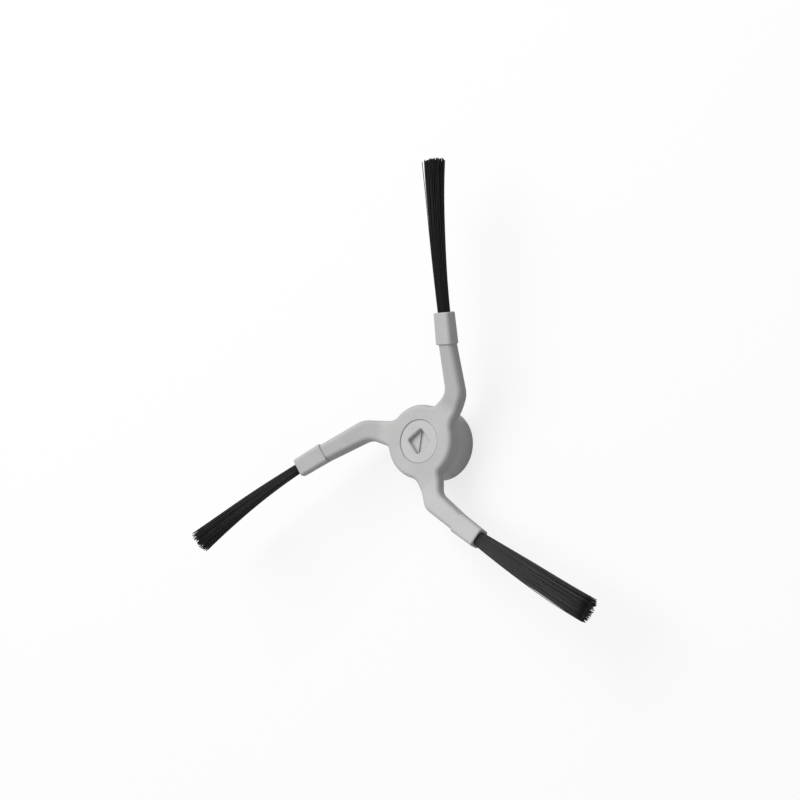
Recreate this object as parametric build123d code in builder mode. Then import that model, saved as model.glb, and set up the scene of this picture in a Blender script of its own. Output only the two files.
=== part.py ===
# Robot vacuum side brush: a hard drive hub, a soft ring with three drooping arms moulded
# round it, and a bristle tuft anchored in the end of each arm.
# Millimetres. +Z points out of the floor-side face, and z = 0 is the back rim of the hub,
# where the square drive socket opens on the axis.
import os
from math import atan, atan2, cos, degrees, hypot, pi, radians, sin, tan

from build123d import *

# Arms and their heading: the first arm's outer leg is turned this far from +Y
arm_count = 3
first_arm_turn = -36.5

# Outside of the drum
hub_radius = 12.5
hub_height = 15.4
skirt_radius = 12.2
skirt_wall = 1.6
web_thick = 1.6

# Soft ring round the front of the hub
ring_height = 6.2
seam_edge = 0.2

# Neck and flange of the hub that hold the ring
neck_radius = 6.2
flange_radius = 7.3
flange_thick = 1.5
flange_edge = 0.2
face_step = 0.25
key_width = 3.0
key_height = 2.4
key_reach = 2.8
seat_gap = 0.05

# Square drive socket, open at the back, and the square recess in the face
drive_square = 6.4
drive_corner = 0.8
socket_lead = 0.4
floor_thick = 3.0
recess_depth = 1.75
recess_edge = 0.35
relief_length = 7.6
relief_width = 1.3
relief_depth = 0.6
boss_wall = 1.6
rib_count = 6
rib_thick = 1.2
rib_drop = 3.0
back_edge = 0.3

# Arm: a flat bar with a knee, level beside the ring and then bent once to rise to its tip
arm_droop = 22.2
bend_turn = 28.0
bend_clear = 1.2
bend_round = 7.0
arm_offset = 14.4
arm_width = 6.9
arm_tip_width = 5.7
arm_thick = 3.9
edge_round = 1.5
bar_reach = 31.15
bar_tongue = 1.2
knee_inside = 16.3
knee_outside = 14.9
knee_inside_round = 5.0
knee_outside_round = 6.5
root_middle = 44.6
root_half_span = 21.0
root_inside_round = 1.9
root_outside_round = 5.0
root_sink = 3.0

# Collar at the end of each arm, rising less than the bar, with the blind hole for the tuft
collar_rise = 12.0
collar_length = 10.6
collar_width = 6.4
collar_thick = 4.7
collar_taper = 1.2
collar_round = 1.1
collar_edge = 0.25
hole_width = 4.9
hole_thick = 3.6
hole_depth = 8.0

# Bristle tuft, folded over its anchor and flared towards the cut end
tuft_length = 48.5
tuft_bend_radius = 210.0
tuft_bend_lean = 27.0
tuft_tip_width = 8.4
tuft_tip_thick = 6.2
tuft_flare_power = 1.5
tuft_stations = 4
tuft_ridges = 12
tuft_ridge_depth = 0.3
tuft_gap = 0.05

# Flat wire anchor across the bottom of each hole
anchor_bite = 0.35
anchor_height = 1.6
anchor_thick = 0.4
anchor_lift = 1.4
anchor_gap = 0.03

# Levels that follow from the sizes above
ring_bottom = hub_height - ring_height
web_bottom = ring_bottom - web_thick
face_level = hub_height - face_step
flange_bottom = face_level - flange_thick
skirt_inside = skirt_radius - skirt_wall
boss_radius = drive_square / 2 * 2**0.5 - drive_corner * (2**0.5 - 1) + boss_wall
recess_floor = face_level - recess_depth
socket_depth = recess_floor - floor_thick
arm_turns = [first_arm_turn + 360 / arm_count * i for i in range(arm_count)]

# Slope of the bent arm, the plane across its bend, and the plane across its collar's mouth
slope = tan(radians(arm_droop))
half_bend = tan(radians(arm_droop / 2))
half_thick = arm_thick / 2
turn_sine = sin(radians(bend_turn))
turn_cosine = cos(radians(bend_turn))
arm_level = hub_height - half_thick
bend_reach = hub_radius + bend_clear + (bend_round + half_thick) * half_bend
band_plane = Plane(
    origin=(0, 0, arm_level),
    x_dir=(turn_sine, turn_cosine, 0),
    z_dir=(turn_cosine, -turn_sine, 0),
)
collar_climb = arm_offset * turn_sine + bar_reach * turn_cosine - bend_reach
collar_start = Vector(arm_offset, bar_reach, arm_level + collar_climb * slope)
collar_heading = Vector(0, cos(radians(collar_rise)), sin(radians(collar_rise)))
collar_bank = atan(slope * turn_sine)
mouth_plane = Plane(
    origin=collar_start + collar_heading * collar_length,
    x_dir=(cos(collar_bank), 0, sin(collar_bank)),
    z_dir=collar_heading,
)


def root_start(angle, knee):
    """Start of an arm's edge inside the ring, in line with its point on the rim and its knee."""
    rim = Vector(hub_radius * cos(radians(angle)), hub_radius * sin(radians(angle)))
    return rim + (rim - Vector(*knee)).normalized() * root_sink


def root_corners(outline, inside):
    """Corners where the arms' inside or outside edges meet the rim."""
    corners = []
    for corner in outline.vertices():
        turn = (degrees(atan2(corner.Y, corner.X)) - first_arm_turn) % (360 / arm_count)
        if abs(hypot(corner.X, corner.Y) - hub_radius) < 0.01 and (turn > root_middle) == inside:
            corners.append(corner)
    return corners


def once(edges):
    """Edges that appear only once in a list."""
    return [edge for edge in edges if sum(edge.is_same(other) for other in edges) == 1]


def ridged_outline(width, thick):
    """Closed zigzag on an ellipse, whose ridges stand for the packed strands of a tuft."""
    corners = []
    for corner in range(2 * tuft_ridges):
        angle = pi * corner / tuft_ridges
        depth = tuft_ridge_depth * (corner % 2)
        corners.append(((width / 2 - depth) * cos(angle), (thick / 2 - depth) * sin(angle)))
    Polyline(*corners, close=True)


def tuft_plane(travel):
    """Plane across the tuft at a distance from the collar's mouth along its bent line."""
    turn = travel / tuft_bend_radius
    lean = radians(tuft_bend_lean)
    ahead = mouth_plane.z_dir
    inward = mouth_plane.y_dir * cos(lean) - mouth_plane.x_dir * sin(lean)
    bow = ahead * sin(turn) + inward * (1 - cos(turn))
    heading = ahead * cos(turn) + inward * sin(turn)
    across = mouth_plane.x_dir - heading * mouth_plane.x_dir.dot(heading)
    return Plane(mouth_plane.origin + bow * tuft_bend_radius, x_dir=across, z_dir=heading)


def key_blocks(gap):
    """Three drive keys on the shoulder of the hub, or with a gap the pockets for them."""
    with BuildSketch(Plane.XY.offset(ring_bottom)) as keys:
        with PolarLocations(0, arm_count, first_arm_turn + root_middle):
            Rectangle(
                neck_radius + key_reach + gap,
                key_width + 2 * gap,
                align=(Align.MIN, Align.CENTER),
            )
    return keys.sketch


# Hard hub: skirt, web, boss with the drive socket, and the neck and flange under the face
with BuildPart() as drive_hub:
    with BuildSketch(Plane.XZ):
        Polygon(
            (0, 0),
            (boss_radius, 0),
            (boss_radius, web_bottom),
            (skirt_inside, web_bottom),
            (skirt_inside, 0),
            (skirt_radius, 0),
            (skirt_radius, ring_bottom),
            (neck_radius, ring_bottom),
            (neck_radius, flange_bottom),
            (flange_radius, flange_bottom),
            (flange_radius, face_level),
            (0, face_level),
            align=None,
        )
    revolve(axis=Axis.Z)
    rims = drive_hub.edges().filter_by(GeomType.CIRCLE).group_by(Axis.Z)
    chamfer(rims[0], back_edge)
    chamfer(rims[-1], flange_edge)
    with BuildSketch(Plane.XY.offset(rib_drop)):
        with PolarLocations(0, rib_count):
            Rectangle(skirt_inside + skirt_wall / 2, rib_thick, align=(Align.MIN, Align.CENTER))
        Circle(boss_radius - boss_wall / 2, mode=Mode.SUBTRACT)
    extrude(amount=web_bottom - rib_drop + web_thick / 2)
    extrude(key_blocks(0), amount=key_height)
    with BuildSketch(Plane.XY):
        RectangleRounded(drive_square, drive_square, drive_corner)
    extrude(amount=socket_depth, mode=Mode.SUBTRACT)
    socket_face = drive_hub.faces().group_by(Axis.Z)[0].sort_by_distance((0, 0, 0))[0]
    chamfer(socket_face.inner_wires().edges(), socket_lead)
    with BuildSketch(Plane.XY.offset(recess_floor)):
        RectangleRounded(drive_square, drive_square, drive_corner)
    extrude(amount=recess_depth, mode=Mode.SUBTRACT)
    chamfer(drive_hub.faces().sort_by(Axis.Z)[-1].inner_wires().edges(), recess_edge)
    with BuildSketch(Plane.XY.offset(recess_floor)):
        with Locations(Rotation(0, 0, 45)):
            SlotOverall(relief_length, relief_width)
    extrude(amount=-relief_depth, mode=Mode.SUBTRACT)
drive_hub.part.label = "drive_hub"

# Outline of one arm seen from the front, lying along +Y, with its root inside the ring
with BuildSketch() as arm_outline:
    inner_knee = (arm_offset - arm_width / 2, knee_inside)
    outer_knee = (arm_offset + arm_width / 2, knee_outside)
    inner_end = (arm_offset - arm_tip_width / 2, bar_reach + bar_tongue)
    outer_end = (arm_offset + arm_tip_width / 2, bar_reach + bar_tongue)
    inner_root = root_start(root_middle + root_half_span, inner_knee)
    outer_root = root_start(root_middle - root_half_span, outer_knee)
    with BuildLine():
        FilletPolyline(inner_root, inner_knee, inner_end, radius=knee_inside_round)
        Line(inner_end, outer_end)
        FilletPolyline(outer_end, outer_knee, outer_root, radius=knee_outside_round)
        Line(outer_root, inner_root)
    make_face()

# Bent band that gives the arm its thickness and its rise
with BuildPart() as bent_band:
    band_end = 2 * bar_reach
    band_climb = (band_end - bend_reach) * slope
    thick_climb = half_thick / cos(radians(arm_droop))
    with BuildSketch(band_plane):
        with BuildLine():
            FilletPolyline(
                (0, half_thick),
                (bend_reach - half_thick * half_bend, half_thick),
                (band_end, band_climb + thick_climb),
                radius=bend_round,
            )
            Line((band_end, band_climb + thick_climb), (band_end, band_climb - thick_climb))
            FilletPolyline(
                (band_end, band_climb - thick_climb),
                (bend_reach + half_thick * half_bend, -half_thick),
                (0, -half_thick),
                radius=bend_round + arm_thick,
            )
            Line((0, -half_thick), (0, half_thick))
        make_face()
    extrude(amount=hub_radius + 1, both=True)

# The three bands, and one collar with its hole
with BuildPart() as bent_bands:
    with PolarLocations(0, arm_count, first_arm_turn):
        add(bent_band.part)
with BuildPart() as collar:
    with BuildSketch(mouth_plane):
        RectangleRounded(collar_width, collar_thick, collar_round)
    extrude(amount=-collar_length, taper=-collar_taper)
    ends = collar.faces().filter_by(lambda f: abs(f.normal_at().dot(mouth_plane.z_dir)) > 0.999)
    chamfer(ends.edges(), collar_edge)
    with BuildSketch(mouth_plane):
        SlotOverall(hole_width, hole_thick)
    extrude(amount=-hole_depth, mode=Mode.SUBTRACT)
    with BuildSketch(mouth_plane.offset(anchor_lift - hole_depth + tuft_gap - anchor_gap)):
        Rectangle(hole_width + 2 * anchor_bite + 2 * anchor_gap, anchor_thick + 2 * anchor_gap)
    extrude(amount=anchor_height + 2 * anchor_gap, mode=Mode.SUBTRACT)

# Soft ring with the three arms, trapped between the hub's shoulder and its flange
with BuildPart() as arm_ring:
    with BuildSketch(Plane.XY) as ring_outline:
        Circle(hub_radius)
        with PolarLocations(0, arm_count, first_arm_turn):
            add(arm_outline.sketch)
        fillet(root_corners(ring_outline, True), root_inside_round)
        fillet(root_corners(ring_outline, False), root_outside_round)
    extrude(amount=3 * hub_height)
    add(bent_bands.part, mode=Mode.INTERSECT)
    with BuildSketch(Plane.XY.offset(ring_bottom)):
        Circle(hub_radius)
    extrude(amount=ring_height - arm_thick)
    tops = arm_ring.faces().filter_by(lambda f: f.normal_at().Z > 0.9)
    top_edges = ShapeList(once(tops.edges())).sort_by_distance((0, 0, hub_height))
    fillet(top_edges[:-arm_count], edge_round)
    with PolarLocations(0, arm_count, first_arm_turn):
        add(collar.part)
    with BuildSketch(Plane.XY.offset(ring_bottom)):
        Circle(neck_radius + seat_gap)
    extrude(amount=ring_height, mode=Mode.SUBTRACT)
    with BuildSketch(Plane.XY.offset(flange_bottom - seat_gap)):
        Circle(flange_radius + seat_gap)
    extrude(amount=ring_height, mode=Mode.SUBTRACT)
    face_edges = arm_ring.edges().filter_by_position(
        Axis.Z, hub_height - seat_gap, hub_height + seat_gap
    )
    chamfer(face_edges.sort_by_distance((0, 0, hub_height))[0], seam_edge)
    extrude(key_blocks(seat_gap), amount=key_height + seat_gap, mode=Mode.SUBTRACT)
arm_ring.part.label = "arm_ring"

# One tuft: the straight root in its hole, then the flared bundle that bends back level
with BuildPart() as tuft:
    root_width = hole_width - 2 * tuft_gap
    root_thick = hole_thick - 2 * tuft_gap
    with BuildSketch(mouth_plane.offset(tuft_gap - hole_depth)):
        with BuildLine():
            ridged_outline(root_width, root_thick)
        make_face()
    extrude(amount=hole_depth - tuft_gap)
    for station in range(tuft_stations + 1):
        share = station / tuft_stations
        grow = share**tuft_flare_power
        with BuildSketch(tuft_plane(share * tuft_length)):
            with BuildLine():
                ridged_outline(
                    root_width + (tuft_tip_width - root_width) * grow,
                    root_thick + (tuft_tip_thick - root_thick) * grow,
                )
            make_face()
    loft(ruled=True)
    with BuildSketch(mouth_plane.offset(anchor_lift - hole_depth + tuft_gap - anchor_gap)):
        Rectangle(hole_width, anchor_thick + 2 * anchor_gap)
    extrude(amount=anchor_height + 2 * anchor_gap, mode=Mode.SUBTRACT)

# One anchor: a short piece of flat wire that bites into both walls of the hole
with BuildPart() as anchor:
    with BuildSketch(mouth_plane.offset(anchor_lift - hole_depth + tuft_gap)):
        Rectangle(hole_width + 2 * anchor_bite, anchor_thick)
    extrude(amount=anchor_height)

# The files, one for each piece
os.makedirs("parts", exist_ok=True)
export_step(drive_hub.part, "parts/drive_hub.step")
export_step(arm_ring.part, "parts/arm_ring.step")
for number, turn in enumerate(arm_turns, start=1):
    for name, piece in (("bristle_tuft", tuft.part), ("tuft_anchor", anchor.part)):
        with BuildPart() as placed:
            with Locations(Rotation(0, 0, turn)):
                add(piece)
        placed.part.label = f"{name}_{number}"
        export_step(placed.part, f"parts/{name}_{number}.step")
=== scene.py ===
"""Looks of the side brush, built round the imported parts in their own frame, in metres."""
from math import cos, pi, radians, sin
from typing import NamedTuple

import bpy
import numpy as np
from mathutils import Matrix, Vector


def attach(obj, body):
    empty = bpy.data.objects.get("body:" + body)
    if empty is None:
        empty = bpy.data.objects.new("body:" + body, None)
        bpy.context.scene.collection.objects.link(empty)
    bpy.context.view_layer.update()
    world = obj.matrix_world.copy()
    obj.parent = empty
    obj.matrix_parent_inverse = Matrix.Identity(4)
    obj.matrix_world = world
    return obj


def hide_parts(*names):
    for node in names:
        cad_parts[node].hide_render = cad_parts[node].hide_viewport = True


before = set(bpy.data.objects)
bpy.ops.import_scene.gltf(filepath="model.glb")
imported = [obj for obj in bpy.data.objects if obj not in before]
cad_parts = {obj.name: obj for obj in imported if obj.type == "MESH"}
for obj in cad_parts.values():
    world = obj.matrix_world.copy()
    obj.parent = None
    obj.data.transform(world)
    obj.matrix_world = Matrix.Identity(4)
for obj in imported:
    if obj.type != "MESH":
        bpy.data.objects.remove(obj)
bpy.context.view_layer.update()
scene = bpy.context.scene
scene.view_settings.view_transform = "Standard"

MM = 0.001
ARM_TURNS = (-36.5, 83.5, 203.5)

# Camera: where it stands, and which way the picture's right and top point
FACE_CENTRE = Vector((0, 0, 15.4 * MM))
CAMERA_SIDE = Vector((0.377, -0.391, 0.840))
PICTURE_RIGHT = Vector((0.6865, -0.4912, -0.5362))
PICTURE_TOP = Vector((0.6220, 0.7786, 0.0832))
CAMERA_DISTANCE = 668.8 * MM
FOCAL_PIXELS = 2000.0
FACE_PIXEL = (418.4, 441.4)
PICTURE_SIDE = 800.0
SENSOR = 36.0
CLIP_NEAR = 0.01
CLIP_FAR = 50.0


def add_camera():
    """Camera of the photograph, turned so that no shift is needed."""
    ahead = -FOCAL_PIXELS * CAMERA_SIDE
    ahead -= (FACE_PIXEL[0] - PICTURE_SIDE / 2) * PICTURE_RIGHT
    ahead += (FACE_PIXEL[1] - PICTURE_SIDE / 2) * PICTURE_TOP
    back = -ahead.normalized()
    right = (PICTURE_RIGHT - back * PICTURE_RIGHT.dot(back)).normalized()
    top = back.cross(right)
    data = bpy.data.cameras.new("camera")
    data.sensor_width = SENSOR
    data.lens = SENSOR * FOCAL_PIXELS / PICTURE_SIDE
    data.clip_start = CLIP_NEAR
    data.clip_end = CLIP_FAR
    camera = bpy.data.objects.new("camera", data)
    turn = Matrix((right, top, back)).transposed().to_4x4()
    place = FACE_CENTRE + CAMERA_SIDE.normalized() * CAMERA_DISTANCE
    camera.matrix_world = Matrix.Translation(place) @ turn
    scene.collection.objects.link(camera)
    scene.camera = camera


# Sockets of a colour Mix node, which has a set of them for each kind of data
MIX_SHARE = 0
MIX_FIRST = 6
MIX_SECOND = 7
MIX_RESULT = 2

# Values that most of a noise lies between
NOISE_RANGE = (0.3, 0.7)

# Likeness of the rounded and the plain normal where an edge begins and where it is full
EDGE_RANGE = (0.995, 0.80)


class Nodes:
    """Short calls to add nodes to a tree."""

    def __init__(self, tree):
        self.tree = tree

    def put(self, socket, value):
        if isinstance(value, bpy.types.NodeSocket):
            self.tree.links.new(value, socket)
        else:
            socket.default_value = value

    def add(self, kind, sockets=None, **settings):
        made = self.tree.nodes.new(kind)
        for key, value in settings.items():
            setattr(made, key, value)
        for key, value in (sockets or {}).items():
            self.put(made.inputs[key], value)
        return made

    def maths(self, operation, first, second):
        made = self.add("ShaderNodeMath", {0: first, 1: second}, operation=operation)
        return made.outputs["Value"]

    def blend(self, share, first, second):
        sockets = {MIX_SHARE: share}
        for socket, colour in ((MIX_FIRST, first), (MIX_SECOND, second)):
            linked = isinstance(colour, bpy.types.NodeSocket)
            sockets[socket] = colour if linked else (*colour, 1.0)
        return self.add("ShaderNodeMix", sockets, data_type="RGBA").outputs[MIX_RESULT]


class Shader(Nodes):
    """A node material round one Principled shader."""

    def __init__(self, name):
        self.material = bpy.data.materials.new(name)
        self.material.use_nodes = True
        super().__init__(self.material.node_tree)
        self.shader = self.tree.nodes["Principled BSDF"]
        self.place = self.add("ShaderNodeTexCoord").outputs["Object"]

    def noise(self, scale, detail, rough=0.5, place=None):
        sockets = {"Vector": place or self.place, "Scale": scale, "Detail": detail}
        sockets["Roughness"] = rough
        return self.add("ShaderNodeTexNoise", sockets).outputs["Fac"]

    def stretch(self, scale):
        sockets = {"Vector": self.place, "Scale": scale}
        return self.add("ShaderNodeMapping", sockets).outputs["Vector"]

    def spread(self, value, source, target):
        sockets = {"Value": value, "From Min": source[0], "From Max": source[1]}
        sockets.update({"To Min": target[0], "To Max": target[1]})
        return self.add("ShaderNodeMapRange", sockets).outputs["Result"]

    def ramp(self, value, *stops):
        made = self.add("ShaderNodeValToRGB", {"Fac": value})
        elements = made.color_ramp.elements
        while len(elements) < len(stops):
            elements.new(0.5)
        for element, (at, colour) in zip(elements, stops):
            element.position = at
            element.color = (*colour, 1.0)
        return made.outputs["Color"]

    def cloudy(self, cloud, dark, pale):
        return self.ramp(cloud, (NOISE_RANGE[0], dark), (NOISE_RANGE[1], pale))

    def edges(self, radius):
        """Share of edge at a point: how far the rounded normal leaves the plain one."""
        rounded = self.add("ShaderNodeBevel", {"Radius": radius}, samples=4)
        plain = self.add("ShaderNodeNewGeometry").outputs["Normal"]
        sockets = {0: rounded.outputs["Normal"], 1: plain}
        made = self.add("ShaderNodeVectorMath", sockets, operation="DOT_PRODUCT")
        return self.spread(made.outputs["Value"], EDGE_RANGE, (0.0, 1.0))

    def bump(self, height, strength, distance):
        sockets = {"Height": height, "Strength": strength, "Distance": distance}
        return self.add("ShaderNodeBump", sockets).outputs["Normal"]

    def finish(self, **values):
        """Fills the shader's sockets, named here with _ for a space."""
        for name, value in values.items():
            self.put(self.shader.inputs[name.replace("_", " ")], value)
        return self.material


# Hard plastic of the hub, and the level up to which painted shade darkens its drum towards the back rim
HUB_DARK = (0.480, 0.480, 0.478)
HUB_PALE = (0.530, 0.530, 0.528)
HUB_RUBBED = (0.62, 0.62, 0.615)
HUB_PAINTED_SHADE = (0.20, 0.20, 0.195)
PAINTED_SHADE_TOP = 7.5 * MM
PAINTED_SHADE_SHARE = 0.50
HUB_EDGE = 0.35 * MM
HUB_GRAIN = 0.03 * MM


def hub_plastic():
    """Hard moulded plastic: fine satin grain, paler rubbed edges, painted shade on the drum towards the
    back rim.
    """
    shader = Shader("hub_plastic")
    cloud = shader.noise(scale=110.0, detail=4.0, rough=0.55)
    body = shader.cloudy(cloud, HUB_DARK, HUB_PALE)
    height = shader.add("ShaderNodeSeparateXYZ", {"Vector": shader.place}).outputs["Z"]
    # Painted shade: the drum darkens towards its back rim, mottled a little by the cloud
    low = shader.spread(height, (PAINTED_SHADE_TOP, 0.0), (0.0, PAINTED_SHADE_SHARE))
    painted_shade = shader.maths("MULTIPLY", low, shader.spread(cloud, NOISE_RANGE, (0.8, 1.0)))
    shaded_body = shader.blend(painted_shade, body, HUB_PAINTED_SHADE)
    patches = shader.noise(scale=420.0, detail=3.0, rough=0.6)
    rub = shader.spread(patches, NOISE_RANGE, (0.5, 1.0))
    worn = shader.maths("MULTIPLY", shader.edges(HUB_EDGE), rub)
    colour = shader.blend(worn, shaded_body, HUB_RUBBED)
    sheen = shader.noise(scale=700.0, detail=4.0, rough=0.6)
    rough = shader.spread(sheen, NOISE_RANGE, (0.40, 0.54))
    grain = shader.bump(shader.noise(scale=5200.0, detail=2.0), 0.10, HUB_GRAIN)
    return shader.finish(Base_Color=colour, Roughness=rough, Normal=grain)


# Soft elastomer of the ring and its arms
RUBBER_DARK = (0.459, 0.459, 0.456)
RUBBER_PALE = (0.515, 0.515, 0.512)
RUBBER_RUBBED = (0.58, 0.58, 0.57)
RUBBER_DUST = (0.40, 0.39, 0.37)
DUST_RANGE = (0.60, 0.74)
RUBBER_EDGE = 0.5 * MM
RUBBER_PEBBLE = 0.04 * MM


def arm_rubber():
    """Soft elastomer: matte, with a fine pebble, a trace of dust and paler rubbed edges."""
    shader = Shader("arm_rubber")
    cloud = shader.noise(scale=85.0, detail=5.0, rough=0.6)
    body = shader.cloudy(cloud, RUBBER_DARK, RUBBER_PALE)
    dust = shader.noise(scale=1500.0, detail=3.0, rough=0.65)
    dusty = shader.blend(shader.spread(dust, DUST_RANGE, (0.0, 0.25)), body, RUBBER_DUST)
    rub = shader.noise(scale=300.0, detail=3.0, rough=0.6)
    worn = shader.maths("MULTIPLY", shader.edges(RUBBER_EDGE), rub)
    colour = shader.blend(worn, dusty, RUBBER_RUBBED)
    sheen = shader.noise(scale=500.0, detail=4.0, rough=0.6)
    rough = shader.spread(sheen, NOISE_RANGE, (0.52, 0.68))
    pebble = shader.bump(shader.noise(scale=3600.0, detail=2.0), 0.14, RUBBER_PEBBLE)
    return shader.finish(Base_Color=colour, Roughness=rough, Normal=pebble)


# Black nylon, from the darkest strands to the palest
BRISTLE_STOPS = (
    (0.08, (0.0028, 0.0028, 0.0030)),
    (0.36, (0.0105, 0.0105, 0.0107)),
    (0.76, (0.0340, 0.0335, 0.0325)),
    (1.00, (0.0480, 0.0475, 0.0465)),
)
STRAND_SHARE = 0.60
STREAK_SHARE = 0.20
STREAK_DEPTH = 0.01 * MM


def bristle():
    """Black nylon: each strand its own shade, with drawn streaks along it; the shade also carries painted
    light, paler or darker by tuft, and painted shade at the roots and cut tips.
    """
    shader = Shader("bristle")
    strand = shader.add("ShaderNodeAttribute", attribute_name="strand").outputs["Fac"]
    streak = shader.noise(scale=2600.0, detail=3.0, rough=0.6)
    shade = shader.maths("MULTIPLY", strand, STRAND_SHARE)
    mixed = shader.maths("ADD", shade, shader.maths("MULTIPLY", streak, STREAK_SHARE))
    colour = shader.ramp(mixed, *BRISTLE_STOPS)
    rough = shader.spread(streak, NOISE_RANGE, (0.38, 0.52))
    drawn = shader.bump(streak, 0.10, STREAK_DEPTH)
    return shader.finish(
        Base_Color=colour, Roughness=rough, Normal=drawn, Specular_IOR_Level=0.15
    )


# Flat steel wire of the hidden anchors
WIRE_DARK = (0.50, 0.50, 0.50)
WIRE_PALE = (0.62, 0.62, 0.61)
WIRE_STRETCH = (1.0, 1.0, 12.0)
WIRE_LINE = 0.01 * MM


def anchor_wire():
    """Drawn flat steel wire with fine lines along it."""
    shader = Shader("anchor_wire")
    line = shader.noise(scale=900.0, detail=3.0, rough=0.6, place=shader.stretch(WIRE_STRETCH))
    colour = shader.cloudy(line, WIRE_DARK, WIRE_PALE)
    rough = shader.spread(line, NOISE_RANGE, (0.28, 0.42))
    drawn = shader.bump(line, 0.1, WIRE_LINE)
    return shader.finish(Base_Color=colour, Roughness=rough, Normal=drawn, Metallic=1.0)


def dress(node, material):
    """Gives a carried-over node its material."""
    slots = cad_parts[node].data.materials
    slots.clear()
    slots.append(material)


def unit(rows):
    return rows / np.linalg.norm(rows, axis=-1, keepdims=True)


# Tuft's line in an arm's own heading, the same values as in the part's source
MOUTH = np.array([14.4, 41.5184, 23.3294]) * MM
COLLAR_RISE = radians(12.0)
COLLAR_BANK = radians(10.846)
BEND_RADIUS = 210.0 * MM
BEND_LEAN = radians(27.0)
HOLE_THICK = 3.6 * MM
HOLE_HALF = HOLE_THICK / 2
ANCHOR_BOTTOM = -6.55 * MM
ANCHOR_HALF = 0.2 * MM

# Directions of the tuft at its mouth
MOUTH_AHEAD = np.array([0.0, cos(COLLAR_RISE), sin(COLLAR_RISE)])
BANKED = np.array([cos(COLLAR_BANK), 0.0, sin(COLLAR_BANK)])
MOUTH_ACROSS = unit(BANKED - MOUTH_AHEAD * BANKED.dot(MOUTH_AHEAD))
MOUTH_DOWN = np.cross(MOUTH_AHEAD, MOUTH_ACROSS)
MOUTH_INWARD = MOUTH_DOWN * cos(BEND_LEAN) - MOUTH_ACROSS * sin(BEND_LEAN)

# Strands of a tuft, packed in rows at the mouth and held close beside the anchor
STRAND_RADIUS = 0.128 * MM
STRAND_PITCH = 0.262 * MM
ROW_SHARE = 0.866
STRAND_SIDES = 7
PACK_ROOM = HOLE_HALF - 1.2 * STRAND_RADIUS
PACK_JITTER = 0.02 * MM
HELD_HALF = ANCHOR_HALF + 1.1 * STRAND_RADIUS
FOLD_ROOM = 1.2 * MM

# Steps of a strand: its free run from tip to mouth, its way down the hole, and its fold
RUN_STEPS = 15
HOLE_STEPS = 3
FOLD_STEPS = 7
RUN_SHARES = np.linspace(1.0, 0.0, RUN_STEPS + 1)
HOLE_SHARES = np.linspace(0.0, 1.0, HOLE_STEPS + 1)[1:]
FOLD_ANGLES = np.linspace(0.0, pi, FOLD_STEPS + 2)[1:-1]

# Waves of single strands, across the tuft and through it
WAVE_SHARE = 0.55
WAVE_POWER = 1.3
WAVE_ACROSS = 2.1 * pi
WAVE_THROUGH = 2.7 * pi

# Strands darken a little along their run, and painted shade darkens them more at their roots, down the
# hole, round the fold and at their cut tips
SHADE_SPREAD = 0.50
RUN_FADE = 0.20
ROOT_PAINTED_SHADE = 0.60
ROOT_POWER = 18
TIP_PAINTED_SHADE = 0.62
TIP_POWER = 10


class Tuft(NamedTuple):
    """One tuft's own form, with lengths in mm, and the painted light level of its strands."""

    length: float
    root_width: float
    tip_width: float
    tip_thick: float
    bow: float
    lean: float
    wander: float
    cut: float
    early_flare: float
    painted_light_level: float


# Bow and lean go to one side, wander is of single strands, and cut is the end's unevenness
# The last value is painted light: it makes the top tuft's strands darker and the lower right tuft's paler
TUFTS = (
    Tuft(50.5, 4.8, 8.4, 6.4, bow=-0.2, lean=0.1, wander=0.20, cut=0.12, early_flare=0.15, painted_light_level=0.00),
    Tuft(46.3, 3.9, 9.0, 6.4, bow=-0.3, lean=-0.8, wander=0.22, cut=0.14, early_flare=0.25, painted_light_level=0.55),
    Tuft(48.3, 5.1, 8.6, 6.6, bow=-0.3, lean=0.0, wander=0.30, cut=0.16, early_flare=0.95, painted_light_level=1.25),
)
FIRST_SEED = 411


def tuft_points(travel, sideways, through):
    """Points at a distance along the tuft's bent line and beside it, all arrays alike."""
    turn = np.maximum(travel, 0.0)[..., None] / BEND_RADIUS
    inside = np.minimum(travel, 0.0)[..., None]
    line = MOUTH + MOUTH_AHEAD * inside
    line = line + BEND_RADIUS * (MOUTH_AHEAD * np.sin(turn) + MOUTH_INWARD * (1 - np.cos(turn)))
    heading = MOUTH_AHEAD * np.cos(turn) + MOUTH_INWARD * np.sin(turn)
    across = unit(MOUTH_ACROSS - heading * (heading @ MOUTH_ACROSS)[..., None])
    down = np.cross(heading, across)
    return line + across * sideways[..., None] + down * through[..., None]


def packed_places(root_width):
    """Places of the strands on one side of the fold, close together in half of the hole."""
    half_flat = (root_width - HOLE_THICK) / 2
    places = []
    row = 0
    while (row + 0.5) * STRAND_PITCH * ROW_SHARE < PACK_ROOM:
        through = (row + 0.5) * STRAND_PITCH * ROW_SHARE
        reach = half_flat + (PACK_ROOM**2 - through**2) ** 0.5
        count = int(2 * reach / STRAND_PITCH)
        first = -(count - 1) / 2 * STRAND_PITCH + (row % 2 - 0.5) * 0.5 * STRAND_PITCH
        places.extend((first + i * STRAND_PITCH, through) for i in range(count))
        row += 1
    return np.array(places)


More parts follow.
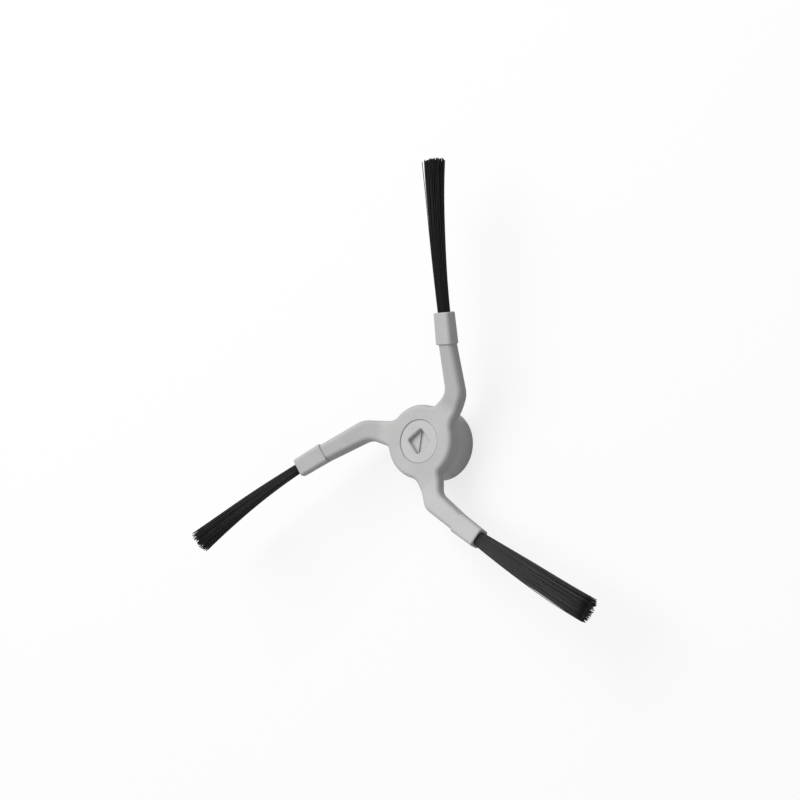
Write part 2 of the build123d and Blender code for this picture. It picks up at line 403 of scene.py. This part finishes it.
def free_run(tuft, places, side, draw):
    """Half of the strands from tip to mouth: distances along, across and through the tuft."""
    count = len(places)
    shares = RUN_SHARES
    middle = shares * (1 - shares)
    wander = tuft.wander * MM
    ends = tuft.length * MM + tuft.cut * MM * draw.normal(size=count)
    jitter = draw.normal(size=(count, 2)) * PACK_JITTER
    splay = draw.normal(size=(count, 2)) * wander
    # Two of the four phases are spare, and keep the later draws as they are
    phase = draw.uniform(0, 2 * pi, size=(count, 4))
    grow = 2 * tuft.early_flare * middle + shares**2
    wave = shares**WAVE_POWER * wander * WAVE_SHARE
    u = (places[:, :1] + jitter[:, :1]) * (1 + (tuft.tip_width / tuft.root_width - 1) * grow)
    u = u + 4 * tuft.bow * MM * middle + (tuft.lean * MM + splay[:, :1]) * shares**2
    u = u + wave * np.sin(WAVE_ACROSS * shares + phase[:, :1])
    v = side * places[:, 1:] + jitter[:, 1:]
    v = v * (1 + (tuft.tip_thick * MM / HOLE_THICK - 1) * grow) + splay[:, 1:] * shares**2
    v = v + wave * np.sin(WAVE_THROUGH * shares + phase[:, 1:2])
    return ends[:, None] * shares, u, v


def pinched(places):
    """Distance of each strand from the middle plane at the anchor's inner end."""
    return HELD_HALF + places[:, 1:] * (HOLE_HALF - HELD_HALF) / HOLE_HALF


def held_run(places, side, u, v):
    """The same strands from the mouth down the hole, drawn together beside the anchor."""
    travel = np.tile(HOLE_SHARES * ANCHOR_BOTTOM, (len(places), 1))
    held_u = u[:, -1:] + (places[:, :1] - u[:, -1:]) * HOLE_SHARES
    held_v = v[:, -1:] + (side * pinched(places) - v[:, -1:]) * HOLE_SHARES
    return travel, held_u, held_v


def fold_run(places):
    """The fold of the strands below the anchor, from one half of the tuft to the other."""
    reach = pinched(places)
    travel = ANCHOR_BOTTOM - reach / HOLE_HALF * FOLD_ROOM * np.sin(FOLD_ANGLES)
    return travel, np.tile(places[:, :1], (1, FOLD_STEPS)), reach * np.cos(FOLD_ANGLES)


def strand_fade_and_painted_shade():
    """Share of its shade that a strand has at each step, from tip to tip, with painted shade at its
    roots, down the hole, round the fold and at its cut tips.
    """
    fade = 1 - RUN_FADE * RUN_SHARES - TIP_PAINTED_SHADE * RUN_SHARES**TIP_POWER
    fade = fade - ROOT_PAINTED_SHADE * (1 - RUN_SHARES) ** ROOT_POWER
    held = np.full(2 * HOLE_STEPS + FOLD_STEPS, 1 - ROOT_PAINTED_SHADE)
    return np.concatenate((fade, held, fade[::-1]))


def tuft_mesh(name, turn, tuft, seed):
    """Folded strands of one tuft: out of the hole, round the anchor, and back out again."""
    draw = np.random.default_rng(seed)
    places = packed_places(tuft.root_width * MM)
    halves = []
    for side in (1.0, -1.0):
        free = free_run(tuft, places, side, draw)
        held = held_run(places, side, *free[1:])
        halves.append(tuft_points(*(np.hstack(both) for both in zip(free, held))))
    fold = tuft_points(*fold_run(places))
    paths = np.concatenate((halves[0], fold, halves[1][:, ::-1]), axis=1)
    spin = radians(turn)
    turned = np.array([[cos(spin), -sin(spin), 0], [sin(spin), cos(spin), 0], [0, 0, 1]])
    # Each strand's own random shade, raised by the tuft's painted light level
    shades = tuft.painted_light_level + SHADE_SPREAD * draw.uniform(size=len(places))
    # Painted shade at the roots, down the hole, round the fold and at the cut tips
    shades = shades[:, None] * strand_fade_and_painted_shade()
    return tube_mesh(name, paths @ turned.T, turned @ MOUTH_ACROSS, shades)


def tube_mesh(name, paths, across, shades):
    """Round strands along paths, shaded at each step, none of which runs along across."""
    count, steps = paths.shape[:2]
    heading = unit(np.gradient(paths, axis=1))
    first = unit(across - heading * (heading @ across)[..., None])
    second = np.cross(heading, first)
    around = np.linspace(0, 2 * pi, STRAND_SIDES, endpoint=False)[:, None]
    ring = first[:, :, None] * np.cos(around) + second[:, :, None] * np.sin(around)
    points = (paths[:, :, None] + STRAND_RADIUS * ring).reshape(-1, 3)
    side = np.arange(STRAND_SIDES)
    strand_start = np.arange(count)[:, None] * steps
    start = (strand_start + np.arange(steps - 1))[..., None] * STRAND_SIDES
    here = start + side
    beside = start + (side + 1) % STRAND_SIDES
    quads = np.stack((here, beside, beside + STRAND_SIDES, here + STRAND_SIDES), axis=-1)
    quads = quads.reshape(-1, 4)
    first_caps = strand_start * STRAND_SIDES + side[::-1]
    last_caps = (strand_start + steps - 1) * STRAND_SIDES + side
    caps = np.concatenate((first_caps, last_caps))
    mesh = bpy.data.meshes.new(name)
    mesh.from_pydata(points.tolist(), [], quads.tolist() + caps.tolist())
    smooth = np.zeros(len(quads) + len(caps), bool)
    smooth[: len(quads)] = True
    mesh.polygons.foreach_set("use_smooth", smooth)
    strand = mesh.attributes.new("strand", "FLOAT", "POINT")
    each = np.repeat(shades.reshape(-1), STRAND_SIDES)
    strand.data.foreach_set("value", each.astype(np.float32))
    mesh.validate()
    mesh.update()
    return mesh


def add_tufts(material):
    for index, (turn, tuft) in enumerate(zip(ARM_TURNS, TUFTS)):
        number = index + 1
        name = f"strands_{number}"
        mesh = tuft_mesh(name, turn, tuft, seed=FIRST_SEED + index)
        mesh.materials.append(material)
        piece = bpy.data.objects.new(name, mesh)
        scene.collection.objects.link(piece)
        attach(piece, "root")
        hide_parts(f"bristle_tuft_{number}")


# Floor and light
FLOOR_SIDE = 6.0
FLOOR_DROP = 0.05 * MM
FLOOR_WHITE = (0.955, 0.955, 0.955)
FLOOR_BOUNCE = (0.27, 0.27, 0.27)
FLOOR_ROUGHNESS = 0.9
FLOOR_GLOW = 0.75
WHITE = (1.0, 1.0, 1.0, 1.0)
SKY_WHITE = 1.0
SKY_FILL = 0.39
KEY_AZIMUTH = radians(88.0)
KEY_ELEVATION = radians(56.0)
KEY_DISTANCE = 1.1
KEY_SIDE = 1.0
KEY_POWER = 11.0


def seen_ray(nodes):
    """Value that is 1 for the rays that show a surface: camera, glossy and transmission."""
    path = nodes.add("ShaderNodeLightPath")
    seen = path.outputs["Is Camera Ray"]
    for name in ("Is Glossy Ray", "Is Transmission Ray"):
        seen = nodes.maths("MAXIMUM", seen, path.outputs[name])
    return seen


def floor_paper():
    """Plain paper, nearly white where it is seen, that throws less light back on the object."""
    material = bpy.data.materials.new("floor")
    material.use_nodes = True
    nodes = Nodes(material.node_tree)
    seen = seen_ray(nodes)
    paper = nodes.tree.nodes["Principled BSDF"]
    nodes.put(paper.inputs["Base Color"], nodes.blend(seen, FLOOR_BOUNCE, FLOOR_WHITE))
    nodes.put(paper.inputs["Roughness"], FLOOR_ROUGHNESS)
    nodes.put(paper.inputs["Specular IOR Level"], 0.0)
    glow = nodes.add("ShaderNodeEmission", {"Color": WHITE})
    share = nodes.maths("MULTIPLY", seen, FLOOR_GLOW)
    sockets = {0: share, 1: paper.outputs["BSDF"], 2: glow.outputs["Emission"]}
    both = nodes.add("ShaderNodeMixShader", sockets)
    nodes.put(nodes.tree.nodes["Material Output"].inputs["Surface"], both.outputs["Shader"])
    return material


def add_floor():
    half = FLOOR_SIDE / 2
    corners = [(-half, -half), (half, -half), (half, half), (-half, half)]
    mesh = bpy.data.meshes.new("floor")
    mesh.from_pydata([(x, y, -FLOOR_DROP) for x, y in corners], [], [(0, 1, 2, 3)])
    mesh.materials.append(floor_paper())
    floor = bpy.data.objects.new("floor", mesh)
    scene.collection.objects.link(floor)


def add_sky():
    """Even fill light from all round, white where it is seen."""
    world = bpy.data.worlds.new("studio")
    scene.world = world
    world.use_nodes = True
    nodes = Nodes(world.node_tree)
    fill = nodes.tree.nodes["Background"]
    nodes.put(fill.inputs["Strength"], SKY_FILL)
    nodes.put(fill.inputs["Color"], WHITE)
    white = nodes.add("ShaderNodeBackground", {"Strength": SKY_WHITE, "Color": WHITE})
    sockets = {0: seen_ray(nodes), 1: fill.outputs["Background"], 2: white.outputs["Background"]}
    both = nodes.add("ShaderNodeMixShader", sockets)
    nodes.put(nodes.tree.nodes["World Output"].inputs["Surface"], both.outputs["Shader"])


def add_key():
    """One large soft lamp."""
    lamp = bpy.data.lights.new("key", "AREA")
    lamp.shape = "SQUARE"
    lamp.size = KEY_SIDE
    lamp.energy = KEY_POWER
    level = cos(KEY_ELEVATION)
    towards = Vector((cos(KEY_AZIMUTH) * level, sin(KEY_AZIMUTH) * level, sin(KEY_ELEVATION)))
    key = bpy.data.objects.new("key", lamp)
    turn = towards.to_track_quat("Z", "Y").to_matrix().to_4x4()
    key.matrix_world = Matrix.Translation(FACE_CENTRE + towards * KEY_DISTANCE) @ turn
    scene.collection.objects.link(key)


add_camera()
dress("drive_hub", hub_plastic())
dress("arm_ring", arm_rubber())
wire = anchor_wire()
for number in range(1, len(ARM_TURNS) + 1):
    dress(f"tuft_anchor_{number}", wire)
add_tufts(bristle())
add_floor()
add_sky()
add_key()
